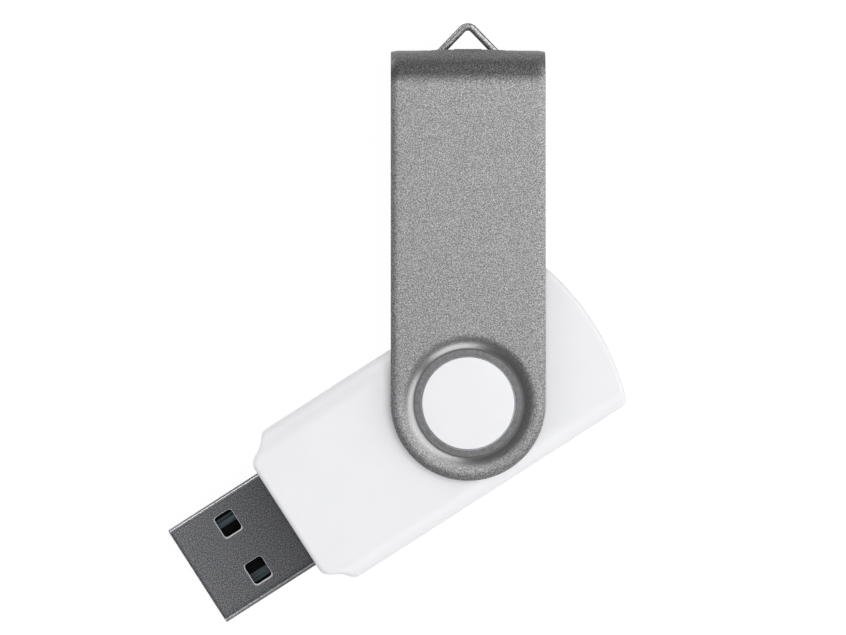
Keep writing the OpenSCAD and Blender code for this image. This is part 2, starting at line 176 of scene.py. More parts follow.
def can_finish():
    finish, shader = new_finish("crystal_metal", (0.66, 0.67, 0.7), 0.3, metallic=1.0)
    roughen(finish, shader, spread(finish, noise(finish, 3.0), 0.22, 0.4))
    emboss(finish, shader, noise(finish, 6.0), 0.006)
    return finish


dress("crystal_can", can_finish())
dress("crystal_leads", lead_tin)


# Chip capacitors, resistors and the status light: small fired blocks with tinned ends, set on
# the board's top by machine.

def ceramic_finish(name, color, darker, roughness):
    finish, shader = new_finish(name, color, roughness)
    shade_between(finish, shader, noise(finish, 6.0), color, darker)
    emboss(finish, shader, noise(finish, 12.0), 0.006)
    return finish


for name, material, color, darker, roughness in (
        ("capacitors", "capacitor_ceramic", (0.5, 0.36, 0.22), (0.42, 0.3, 0.18), 0.5),
        ("resistors", "resistor_ceramic", (0.04, 0.04, 0.05), (0.03, 0.03, 0.036), 0.45),
        ("status_led", "led_lens", (0.85, 0.8, 0.55), (0.8, 0.73, 0.48), 0.2)):
    dress(name, ceramic_finish(material, color, darker, roughness))


# Plug insulator: the black moulded tongue that fills the lower half of the plug, with a block
# behind it that closes the metal shell.

def tongue_finish():
    finish, shader = new_finish("tongue_plastic", (0.004, 0.004, 0.0045), 0.5)
    shader.inputs["Specular IOR Level"].default_value = 0.04
    roughen(finish, shader, spread(finish, noise(finish, 5.0), 0.38, 0.55))
    emboss(finish, shader, noise(finish, 16.0), 0.006)
    return finish


dress("plug_insulator", tongue_finish())


# Contacts: four spring strips lying in the tongue's channels, with tails that run out of the
# block onto the board, coloured near-black as painted shade inside the plug. Rolling left fine
# lines along them.

def dark_contact_finish():
    finish, shader = new_finish("contact_nickel", (0.16, 0.19, 0.22), 0.3, metallic=1.0)
    lines = node(finish, "TexNoise", {
        "Vector": place_in_mm(finish, (0.15, 9.0, 1.0)), "Scale": 1.0, "Detail": 2.0})
    # dark tones painted as the plug's inner shade, streaked with rolling lines
    shade_between(
        finish, shader, spread(finish, lines.outputs["Fac"], 0, 1),
        (0.008, 0.011, 0.014), (0.10, 0.13, 0.145))
    roughen(finish, shader, spread(finish, noise(finish, 5.0), 0.22, 0.4))
    return finish


contact_nickel = dark_contact_finish()
for name in ("vbus_contact", "data_minus_contact", "data_plus_contact", "ground_contact"):
    dress(name, contact_nickel)


# Solder: bright fillets that hold the contact tails and the plug's two tabs to the board.

def solder_finish():
    finish, shader = new_finish("solder", (0.62, 0.62, 0.64), 0.28, metallic=1.0)
    roughen(finish, shader, spread(finish, noise(finish, 4.0), 0.18, 0.4))
    emboss(finish, shader, noise(finish, 3.0), 0.03)
    return finish


solder = solder_finish()
dress("contact_solder_joints", solder)
dress("plug_solder_joints", solder)


# Plug shell: dark plated steel sheet folded into a flat tube that meets in a seam under the
# plug, with two latch windows on each broad face and two tabs that go into the board.

plug_low, plug_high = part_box("plug_shell")
swivel = next(joint for joint in frame["joints"] if joint["name"] == "clip_swivel")
mid_z = swivel["pos_m"][2] / mm
plug_tip_x = plug_low.x / mm
plug_end_x = plug_high.x / mm
plug_w = (plug_high.y - plug_low.y) / mm
plug_t = (plug_high.z - plug_low.z) / mm
plug_sheet = 0.3
plug_corner_r = 0.6
plug_rim_r = 0.06
seam_gap = 0.05
tab_len, tab_h = 2.3, 2.2
latch_l, latch_w, latch_r = 2.25, 2.6, 0.38
latch_in, latch_y = 6.05, 3.07
latch_rim_r = 0.04
latch_border_l, latch_border_w = 0.55, 0.5
punch_flare, punch_slant, punch_shift = 1.06, 0.08, 0.05
# painted highlight on one fold of the plug's top, and a faint one on the other
fold_painted_highlight, fold_faint_painted_highlight = 0.42, 0.05


class Blank:
    """A flat sheet pattern: shared corner points and the faces between them."""

    def __init__(self):
        self.points = {}
        self.faces = []

    def point(self, u, v):
        key = (round(u, 5), round(v, 5))
        return self.points.setdefault(key, len(self.points))

    def face(self, corners):
        ids = [self.point(u, v) for u, v in corners]
        if len(set(ids)) == len(ids):
            self.faces.append(ids)

    def lattice(self, us, vs, keep=lambda u, v: True):
        """Rectangular cells between grid lines, where keep says yes at a cell's middle."""
        for u0, u1 in zip(us, us[1:]):
            for v0, v1 in zip(vs, vs[1:]):
                if keep((u0 + u1) / 2, (v0 + v1) / 2):
                    self.face([(u0, v0), (u1, v0), (u1, v1), (u0, v1)])

    def collar(self, loops):
        """Cells between closed loops of equal count, given from the inside out."""
        for inner, outer in zip(loops, loops[1:]):
            count = len(inner)
            for i in range(count):
                j = (i + 1) % count
                self.face([inner[i], outer[i], outer[j], inner[j]])


def cut_sheet(blank, thickness, rims):
    """Gives a flat blank its thickness and rounds its rims. Each rim is a test of a rim edge's
    middle, a radius and a number of steps. The third coordinate counts from the middle."""
    flat = np.array(list(blank.points))
    count = len(flat)
    half = thickness / 2
    bm = bmesh.new()
    for z in (half, -half):
        for u, v in flat:
            bm.verts.new((u, v, z))
    bm.verts.ensure_lookup_table()
    uses = {}
    for ids in blank.faces:
        area = sum(
            flat[a][0] * flat[b][1] - flat[b][0] * flat[a][1]
            for a, b in zip(ids, ids[1:] + ids[:1]))
        ids = ids if area > 0 else ids[::-1]
        bm.faces.new([bm.verts[i] for i in ids])
        bm.faces.new([bm.verts[i + count] for i in ids[::-1]])
        for a, b in zip(ids, ids[1:] + ids[:1]):
            uses.setdefault(frozenset((a, b)), []).append((a, b))
    for users in uses.values():
        if len(users) == 1:
            a, b = users[0]
            bm.faces.new([bm.verts[i] for i in (b, a, a + count, b + count)])
    for chosen, radius, steps in rims:
        edges = []
        for edge in bm.edges:
            if len(edge.link_faces) != 2 or abs(edge.verts[0].co.z - edge.verts[1].co.z) > 1e-6:
                continue
            if abs(abs(edge.verts[0].co.z) - half) > 1e-6:
                continue
            upright = [abs(f.normal.z) < 0.5 for f in edge.link_faces]
            middle = (edge.verts[0].co + edge.verts[1].co) / 2
            if upright[0] != upright[1] and chosen(middle.x, middle.y):
                edges.append(edge)
        bm.normal_update()
        bmesh.ops.bevel(
            bm, geom=edges, offset=radius, segments=steps, profile=0.5,
            affect="EDGES", clamp_overlap=True)
        bm.normal_update()
    return bm


def finish_piece(name, mesh, finish, body, replaced, sharp=35):
    """Turns a mesh in metres into a piece that rides on a body and stands for its CAD node."""
    mesh.shade_smooth()
    mesh.set_sharp_from_angle(angle=math.radians(sharp))
    mesh.materials.clear()
    mesh.materials.append(finish)
    piece = bpy.data.objects.new(name, mesh)
    bpy.context.scene.collection.objects.link(piece)
    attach(piece, body)
    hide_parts(*replaced)


def finished_mesh(bm, name):
    """Turns a mesh's faces outward and hands it over."""
    bmesh.ops.recalc_face_normals(bm, faces=bm.faces)
    mesh = bpy.data.meshes.new(name)
    bm.to_mesh(mesh)
    bm.free()
    return mesh


def rounded_window(cu, cv, half_u, half_v, r, pad_u, pad_v, arc_steps):
    """A rounded window's edge, the border of the rectangular patch around it, and the grid
    lines that the border shares with the lattice outside it."""
    edge = []
    for su, sv, start in ((1, 1, 0), (-1, 1, 90), (-1, -1, 180), (1, -1, 270)):
        for i in range(arc_steps + 1):
            a = math.radians(start + 90 * i / arc_steps)
            edge.append((
                cu + su * (half_u - r) + r * math.cos(a),
                cv + sv * (half_v - r) + r * math.sin(a)))
    # the border has as many points as the edge
    per_side = len(edge) // 4
    us = [cu - pad_u + 2 * pad_u * i / per_side for i in range(per_side + 1)]
    vs = [cv - pad_v + 2 * pad_v * i / per_side for i in range(per_side + 1)]
    border = [(us[-1], v) for v in vs[per_side // 2:]]
    border += [(u, vs[-1]) for u in us[::-1][1:]]
    border += [(us[0], v) for v in vs[::-1][1:]]
    border += [(u, vs[0]) for u in us[1:]]
    border += [(us[-1], v) for v in vs[1:per_side // 2]]
    return edge, border, us, vs


def plug_shell_mesh():
    half_w, half_t = plug_w / 2 - plug_sheet / 2, plug_t / 2 - plug_sheet / 2
    r = plug_corner_r - plug_sheet / 2
    flat_w, flat_t = 2 * (half_w - r), 2 * (half_t - r)
    quarter = math.pi / 2 * r
    around = 2 * (flat_w + flat_t) + 4 * quarter
    bottom_half = flat_w / 2
    side_mid = bottom_half + quarter + flat_t / 2
    top_mid = around / 2

    # v runs round the section from the seam under the plug, up one side, across the top and
    # down the other side; the stops are where one half's flats and bends begin
    arc_steps = 6
    stops = [0, bottom_half, bottom_half + quarter, bottom_half + quarter + flat_t]
    stops += [stops[-1] + quarter]
    lines = {seam_gap / 2, around - seam_gap / 2}
    for half in (0, 1):
        for a, b in ((stops[1], stops[2]), (stops[3], stops[4])):
            for i in range(arc_steps + 1):
                s = a + (b - a) * i / arc_steps
                lines.add(around - s if half else s)
        for s in (side_mid - tab_h / 2, side_mid, side_mid + tab_h / 2):
            lines.add(around - s if half else s)
    front_u = plug_tip_x + latch_in
    latch_vs = [latch_y, around - latch_y, top_mid - latch_y, top_mid + latch_y]
    pad_u, pad_v = latch_l / 2 + latch_border_l, latch_w / 2 + latch_border_w
    windows = []
    for centre in latch_vs:
        windows.append(rounded_window(
            front_u, centre, latch_l / 2, latch_w / 2, latch_r, pad_u, pad_v, 5))
        lines.update(windows[-1][3])
    rear_u = plug_end_x - tab_len
    before_tab = rear_u - 0.3
    us = sorted({plug_tip_x, plug_tip_x + 0.4, before_tab, rear_u, plug_end_x}
                | set(windows[0][2])
                | set(np.linspace(front_u + pad_u, before_tab, 12).tolist()))
    us = [u for i, u in enumerate(us) if i == 0 or u - us[i - 1] > 1e-4]
    vs = sorted(lines)
    vs = [v for i, v in enumerate(vs) if i == 0 or v - vs[i - 1] > 1e-4]

    def kept(u, v):
        if not seam_gap / 2 < v < around - seam_gap / 2:
            return False
        if u > rear_u:
            return min(abs(v - side_mid), abs(around - v - side_mid)) < tab_h / 2
        return not any(abs(u - front_u) < pad_u and abs(v - w_v) < pad_v for w_v in latch_vs)

    blank = Blank()
    blank.lattice(us, vs, kept)
    for edge, border, *_ in windows:
        # turn the border so that its corners face the window's corners
        count = len(edge)
        shift = min(range(count), key=lambda k: sum(
            math.dist(edge[i], border[(i + k) % count]) for i in range(count)))
        border = border[shift:] + border[:shift]
        near = [(e[0] * 0.6 + b[0] * 0.4, e[1] * 0.6 + b[1] * 0.4) for e, b in zip(edge, border)]
        blank.collar([edge, near, border])

    def by_latch(u, v):
        return abs(u - front_u) < latch_l / 2 + 0.1

    def past_latch(u, v):
        """How far a point of the flat sheet lies outside the nearest latch window."""
        beside = min(abs(v - w_v) for w_v in latch_vs) - latch_w / 2
        return max(abs(u - front_u) - latch_l / 2, beside)

    bm = cut_sheet(blank, plug_sheet, [
        (by_latch, latch_rim_r, 2), (lambda u, v: not by_latch(u, v), plug_rim_r, 3)])

    # punching leaves a window's wall slanted, wider at the outside and moved to one side
    for vert in bm.verts:
        if past_latch(vert.co.x, vert.co.y) < 0.05:
            centre_v = min(latch_vs, key=lambda w_v: abs(vert.co.y - w_v))
            depth = vert.co.z / plug_sheet - 0.5
            share = punch_flare + punch_slant * depth
            vert.co.x = front_u + (vert.co.x - front_u) * share
            vert.co.y = centre_v + (vert.co.y - centre_v) * share + punch_shift * depth
    # cut edges are bare steel painted near white as a highlight; one fold of the top
    # carries a painted highlight and the other a faint one
    bm.normal_update()
    bare_edge_and_painted_highlight = bm.faces.layers.float.new("bare_edge_and_painted_highlight")
    for face in bm.faces:
        at = face.calc_center_median()
        by_edge = past_latch(at.x, at.y) < 0.17 or at.x < plug_tip_x + 0.07
        fold = (min(at.y, around - at.y) - stops[3]) / r
        if abs(face.normal.z) < 0.97 and by_edge:
            face[bare_edge_and_painted_highlight] = 1.0
        elif 0.8 < fold < 1.25 and at.z > 0:
            face[bare_edge_and_painted_highlight] = fold_painted_highlight if at.y < top_mid else fold_faint_painted_highlight

    def folded(v, h):
        """Folds a point of the flat sheet, h from its middle layer, round the plug's section."""
        mirrored = v > top_mid
        s = around - v if mirrored else v
        if s < stops[1]:
            y, z, lean = s, -half_t, -90
        elif s < stops[2]:
            lean = math.degrees((s - stops[1]) / r) - 90
            y, z = half_w - r, -half_t + r
        elif s < stops[3]:
            y, z, lean = half_w, -half_t + r + s - stops[2], 0
        elif s < stops[4]:
            lean = math.degrees((s - stops[3]) / r)
            y, z = half_w - r, half_t - r
        else:
            y, z, lean = half_w - r - (s - stops[4]), half_t, 90
        bent = stops[1] <= s < stops[2] or stops[3] <= s < stops[4]
        out = h + (r if bent else 0)
        y, z = y + out * math.cos(math.radians(lean)), z + out * math.sin(math.radians(lean))
        return (-y if mirrored else y), z

    for vert in bm.verts:
        y, z = folded(vert.co.y, vert.co.z)
        vert.co = Vector((vert.co.x, y, z + mid_z)) * mm
    return finished_mesh(bm, "plug_shell_mesh")


def plated_finish():
    """Dark plating with a fine orange-peel grain and faint brown and blue flecks. Bare cut edges
    and one fold are painted near white as highlights, with painted light at the tip, shade by the
    body."""
    finish, shader = new_finish("plug_steel", (0.17, 0.175, 0.185), 0.31, metallic=1.0)
    grain = spread(finish, noise(finish, 8.5, 1.0, 0.6), 0, 1, 0.36, 0.70)
    tone = mixed(finish, grain, (0.05, 0.052, 0.055), (0.285, 0.29, 0.302))
    flecks = node(finish, "TexNoise", {
        "Vector": place_in_mm(finish), "Scale": 7.0, "Detail": 1.0})
    tint = mixed(finish, 0.3, tone, flecks.outputs["Color"], blend_type="OVERLAY")
    # painted light towards the tip, turning to painted shade near the body
    along = node(finish, "SeparateXYZ", {0: place_in_mm(finish)}).outputs["X"]
    painted_tip_light_body_shade = spread(finish, along, 1.46, 0.62, plug_tip_x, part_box("lower_shell")[0].x / mm)
    plated = mixed(finish, 1.0, tint, painted_tip_light_body_shade, blend_type="MULTIPLY")
    bare_edge_and_highlight = node(finish, "Attribute", {}, attribute_name="bare_edge_and_painted_highlight").outputs["Fac"]
    # bare cut edges and one fold painted near white as highlights
    color = mixed(finish, bare_edge_and_highlight, plated, (0.97, 0.98, 1))
    finish.node_tree.links.new(color, shader.inputs["Base Color"])
    bare_and_highlight_metallic = spread(finish, bare_edge_and_highlight, 1, 0.25, 0.5, 1.0)
    finish.node_tree.links.new(bare_and_highlight_metallic, shader.inputs["Metallic"])
    emboss(finish, shader, noise(finish, 8.0, 2.0), 0.01)
    return finish


finish_piece(
    "plug_shell_sheet", plug_shell_mesh(), plated_finish(), "drive",
    ["plug_shell"])


# Body shells: two halves of white moulded plastic that meet at the middle of the body's
# thickness, with a stepped lip, four pinned posts and a round boss that carries the clip.

shell_low, shell_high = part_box("lower_shell")
front_x = shell_low.x / mm
crown_x = shell_high.x / mm
body_half_w = shell_high.y / mm
boss_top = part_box("upper_shell")[1].z / mm - mid_z
body_half_t = 3.85
wall = 1.2
side_round = 2.5
end_round = 0.5
rear_arc_r = 27.9
scoop_r = 3.4
scoop_ahead = 0.4
scoop_beside = 1.35
scoop_blend = 1.0
boss_r = 5.07
boss_round = 0.12
boss_foot = 0.12
core_in = 3.0
parting = 0.09
passage_clear = 0.05


def rounded_join(a, b, r):
    """Distance to the overlap of two solids, with their common edge rounded."""
    inner = np.minimum(-r, np.maximum(a, b))
    return inner + np.hypot(np.maximum(r + a, 0), np.maximum(r + b, 0))


def body_distance(x, y, z):
    """Signed distance to the body's outer skin, in millimetres from the body's middle."""
    front = front_x - x
    scoop = scoop_r - np.hypot(x - front_x + scoop_ahead, np.abs(y) - body_half_w - scoop_beside)
    rear = np.hypot(x - crown_x + rear_arc_r, y) - rear_arc_r
    ends = np.maximum(rounded_join(front, scoop, scoop_blend), rear)
    qy = np.abs(y) - (body_half_w - side_round)
    qz = np.abs(z) - (body_half_t - side_round)
    section = np.hypot(np.maximum(qy, 0), np.maximum(qz, 0)) - side_round
    section += np.minimum(np.maximum(qy, qz), 0)
    return rounded_join(ends, section, end_round)


def where_zero(function, low, high, steps=40):
    """Where a rising function of one parameter passes zero, for many columns at once."""
    low, high = np.array(low, float), np.array(high, float)
    for _ in range(steps):
        middle = (low + high) / 2
        inside = function(middle) < 0
        low, high = np.where(inside, middle, low), np.where(inside, high, middle)
    return (low + high) / 2


passage_w = plug_w / 2 + passage_clear
passage_t = plug_t / 2 + passage_clear


def body_columns():
    """The body's outline at its middle, matched with a smaller loop inside it, and the height
    above the middle at which each column of the wall ends: the plug's passage cuts some."""
    centre = (front_x + crown_x) / 2
    half_l = (crown_x - front_x) / 2
    turn = np.linspace(0, math.pi, 6001)
    dx, dy = -half_l * np.cos(turn), body_half_w * np.sin(turn)
    size = where_zero(
        lambda s: body_distance(centre + s * dx, s * dy, 0 * dx), 0 * dx + 0.5, 0 * dx + 1.3)
    x, y = centre + size * dx, size * dy
    # columns stand closer together where the outline bends
    heading = np.unwrap(np.arctan2(np.gradient(y), np.gradient(x)))
    bend_weight = 3.0
    step = np.hypot(np.diff(x), np.diff(y)) + bend_weight * np.abs(np.diff(heading))
    along = np.concatenate([[0], np.cumsum(step)])

    front_ys = list(np.linspace(0, passage_w - plug_corner_r, 12))
    front_ys += [
        passage_w - plug_corner_r * (1 - math.sin(math.radians(a))) for a in range(15, 91, 15)]
    front_ys += [passage_w + 0.002, passage_w + 0.15]
    start = np.interp(front_ys[-1] + 0.1, y[:1500], along[:1500])
    picks = np.linspace(start, along[-1], 190)
    xs = np.concatenate([np.full(len(front_ys), front_x), np.interp(picks, along, x)])
    ys = np.concatenate([front_ys, np.interp(picks, along, y)])
    ys[-1] = 0

    # the inner loop: straight across at both ends and along the sides, rounded between
    side_from, side_to, rear_to = -17.0, 11.5, 5.0
    rear_core_x = crown_x - rear_arc_r + math.sqrt(rear_arc_r ** 2 - rear_to ** 2) - core_in
    core_y = body_half_w - core_in
    sofar = np.concatenate([[0], np.cumsum(np.hypot(np.diff(xs), np.diff(ys)))])
    at_front = len(front_ys) - 1
    on_side = np.flatnonzero((xs > side_from) & (ys > body_half_w - 0.01) & (xs < side_to))
    at_rear = np.flatnonzero((xs > side_to) & (ys < rear_to))[0]
    kx, ky = np.array(xs), np.array(ys)
    kx[:at_front + 1] = front_x + core_in

    def bend_between(i, j, start_xy, corner_xy, end_xy):
        f = (sofar[i:j + 1] - sofar[i]) / (sofar[j] - sofar[i])
        for k, out in ((0, kx), (1, ky)):
            out[i:j + 1] = (
                (1 - f) ** 2 * start_xy[k] + 2 * f * (1 - f) * corner_xy[k] + f ** 2 * end_xy[k])

    i, j = on_side[0], on_side[-1]
    bend_between(
        at_front, i, (front_x + core_in, ys[at_front]), (front_x + core_in + 0.4, core_y),
        (xs[i], core_y))
    ky[i:j + 1] = core_y
    bend_between(
        j, at_rear, (xs[j], core_y), (rear_core_x, core_y), (xs[at_rear] - core_in, ys[at_rear]))
    kx[at_rear:] = xs[at_rear:] - core_in

    rise = np.zeros(len(xs))
    for k, y_here in enumerate(front_ys):
        if y_here <= passage_w:
            over = max(y_here - (passage_w - plug_corner_r), 0)
            rise[k] = passage_t - plug_corner_r + math.sqrt(max(plug_corner_r ** 2 - over ** 2, 0))
    # the other side is the same, mirrored
    whole = []
    for column in (xs, ys, kx, ky, rise):
        other = column[1:-1][::-1] * (-1 if column is ys or column is ky else 1)
        whole.append(np.concatenate([column, other]))
    return whole


def ring_skin(bm, rings):
    """Joins closed loops of equal count by faces, and closes both ends with a fan."""
    loops = [[bm.verts.new(p) for p in ring] for ring in rings]
    count = len(loops[0])
    for a, b in zip(loops, loops[1:]):
        for i in range(count):
            j = (i + 1) % count
            bm.faces.new([a[i], a[j], b[j], b[i]])
    for loop in (loops[0], loops[-1]):
        hub = bm.verts.new(sum((v.co for v in loop), Vector()) / count)
        for i in range(count):
            bm.faces.new([hub, loop[i], loop[(i + 1) % count]])


def turned_solid(bm, x, y, profile, steps=32):
    """A round post or pin: a profile of radius and height turned about an upright axis."""
    angles = [2 * math.pi * i / steps for i in range(steps)]
    ring_skin(bm, [
        [(x + r * math.cos(a), y + r * math.sin(a), z) for a in angles] for r, z in profile])


def slab(bm, low, high):
    """A plain rail or pad between two corners."""
    made = bmesh.ops.create_cube(bm, size=1)["verts"]
    for vert in made:
        vert.co = Vector(l + (h - l) * (c + 0.5) for l, h, c in zip(low, high, vert.co))


post_sites = [(-20.3, 7.25), (-20.3, -7.25), (13.0, 5.5), (13.0, -5.5)]
post_r, post_face_r, post_root = 1.1, 1.02, 2.9
pin_r, pin_tip_r, pin_len = 0.6, 0.5, 1.5
socket_r, socket_depth = 0.63, 1.6
pad_from, pad_to, pad_half_w = 2.2, 4.6, 4
rail_from, rail_to, rail_y, rail_half_w = -12.7, 10.3, 6.6, 0.4
rail_edge = {True: -0.15, False: 1.0}
buried = 0.4
# rings of the parting face: how far in each lies, and its level beside the plug's passage. The
# upper half has a lip that reaches down into the lower half's rebate.
lip = [(0.70, 0), (0.71, -0.54), (0.77, -0.6), (1.13, -0.6), (1.19, -0.54)]
rebate = [(0.65, 0), (0.66, 0.64), (0.7, 0.65), (1.15, 0.65)]


def shell_mesh(upper):
    """Half of the body as one skin of rings: over the boss and the top, down the side, across
    the parting face, and back up inside the wall."""
    xs, ys, kx, ky, rise = body_columns()
    run = np.hypot(xs - kx, ys - ky)
    ux, uy = (xs - kx) / run, (ys - ky) / run
    ray_z = body_half_t - core_in
    flat = np.ones(len(xs))

    def rim_ring(inset, height, beside=0):
        """A loop at a distance inside the outline, at a height over the parting face and the
        plug's passage; beside is what is added where the passage does not cut it."""
        t = where_zero(
            lambda s: body_distance(kx + s * ux, ky + s * uy, 0 * s) + inset, 0 * run, run + 1)
        return kx + t * ux, ky + t * uy, rise + height + np.where(rise > 0, 0, beside)

    def skin_ring(share, inset, above):
        """A loop where rays from inside the wall meet the skin, from level to straight up."""
        lowest = np.arctan2(np.maximum(rise + above - ray_z, 0), run - inset)
        angle = lowest + share * (math.pi / 2 - lowest)
        c, s = np.cos(angle), np.sin(angle)
        t = where_zero(
            lambda d: body_distance(kx + d * c * ux, ky + d * c * uy, ray_z + d * s) + inset,
            0 * run, 0 * run + 9)
        return kx + t * c * ux, ky + t * c * uy, ray_z + t * s

    boss_turn = np.arctan2(ky, kx)
    bx, by = np.cos(boss_turn), np.sin(boss_turn)

    def boss_ring(r, z):
        return r * bx, r * by, z * flat

    rings = [boss_ring(1.5, boss_top), boss_ring(3.4, boss_top)]
    for degrees in range(90, -1, -15):
        a = math.radians(degrees)
        rings.append(boss_ring(
            boss_r - boss_round * (1 - math.cos(a)), boss_top - boss_round * (1 - math.sin(a))))
    rings.append(boss_ring(boss_r, body_half_t + boss_foot))
    rings.append(boss_ring(boss_r + 0.04, body_half_t + 0.03))
    rings.append(boss_ring(boss_r + boss_foot, body_half_t))
    x0, y0 = (boss_r + boss_foot) * bx, (boss_r + boss_foot) * by
    for f in (0.3, 0.65):
        rings.append((x0 + (kx - x0) * f, y0 + (ky - y0) * f, body_half_t * flat))
    outer_steps, inner_steps = 44, 12
    for k in range(outer_steps + 1):
        rings.append(skin_ring(1 - k / outer_steps, 0, 0.3))
    for inset, height in ((0, parting), (parting * 0.3, parting * 0.3), (parting, 0)):
        rings.append(rim_ring(inset, height))
    for inset, beside in lip if upper else rebate:
        rings.append(rim_ring(inset, 0, beside))
    for k in range(inner_steps + 1):
        rings.append(skin_ring(k / inner_steps, wall, 0.15))
    ceiling = body_half_t - wall
    rings.append(boss_ring(boss_r - wall + 0.6, ceiling))
    rings.append(boss_ring(boss_r - wall, ceiling))
    rings.append(boss_ring(boss_r - wall, boss_top - wall))
    rings.append(boss_ring(1.5, boss_top - wall))

    bm = bmesh.new()
    ring_skin(bm, [list(zip(*ring)) for ring in rings])
    post = [(post_face_r, 0), (post_r, 0.08), (post_r, post_root)]
    if upper:
        post = [(pin_tip_r, -pin_len), (pin_r, 0.1 - pin_len), (pin_r, 0)] + post
    else:
        post = [(socket_r, socket_depth), (socket_r, 0)] + post
    for x, y in post_sites:
        turned_solid(bm, x, y, post)
    # a pad presses on the plug's shell, and rails hold the board's edges
    slab(bm, (front_x + pad_from, -pad_half_w, passage_t),
         (front_x + pad_to, pad_half_w, ceiling + buried))
    for side in (-1, 1):
        slab(bm, (rail_from, side * rail_y - rail_half_w, rail_edge[upper]),
             (rail_to, side * rail_y + rail_half_w, ceiling + buried))
    side = 1 if upper else -1
    for vert in bm.verts:
        vert.co = Vector((vert.co.x, vert.co.y, mid_z + side * vert.co.z)) * mm
    return finished_mesh(bm, "shell_mesh")


def moulded_finish():
    finish, shader = new_finish("body_plastic", (0.86, 0.86, 0.875), 0.4)
    shade_between(finish, shader, spread(finish, noise(finish, 0.25, 3.0), 0, 1),
                  (0.85, 0.85, 0.868), (0.868, 0.868, 0.88))
    roughen(finish, shader, spread(finish, noise(finish, 1.5), 0.36, 0.46))
    emboss(finish, shader, noise(finish, 8.0, 3.0), 0.004)
    return finish


body_plastic = moulded_finish()
for name, upper, node_name in (
        ("body_lower_half", False, "lower_shell"), ("body_upper_half", True, "upper_shell")):
    finish_piece(name, shell_mesh(upper), body_plastic, "drive", [node_name])


# Swivel clip: one strip of sand-blasted aluminium, punched flat with round ends, pressed into
# a dish around each hole, and folded in two over the body's bosses.

swing = next(joint for joint in frame["joints"] if joint["name"] == "loop_swing")
clip_right = Vector(swing["axis"]).normalized()
clip_ahead = Vector((-clip_right.y, clip_right.x, 0))
loop_axis_y = Vector(swing["pos_m"]).xy.length / mm
clip_half_w = 8.5
sheet = 0.8
bend_r = 4.0
wall_in = 0.55
clip_reach = loop_axis_y + wall_in + sheet
hole_r = 5.1
dish_floor_r = 5.9
dish_steep_r = 6.13
dish_brow_r = 7.8
arm_mid_z = mid_z - sheet / 2
dish_mid_z = 4.3
window_in, window_out, window_half = 1.54, 4.485, 2.28
edge_round, edge_lattice = 0.38, 0.42
punched_round = 0.1
plan_corner_r, plan_corner_from = 0.25, 7.5
shoulder_w, shoulder_drop = 0.9, 0.13
# the strap between the windows stands out a little, and so does the brow above and below it
strap_half_w, strap_half_h, strap_fade, strap_rise = 2.6, 1.6, 1.6, 0.16
brow_half_w, brow_fade, brow_h, brow_rise = 3.6, 1.2, 0.45, 0.1


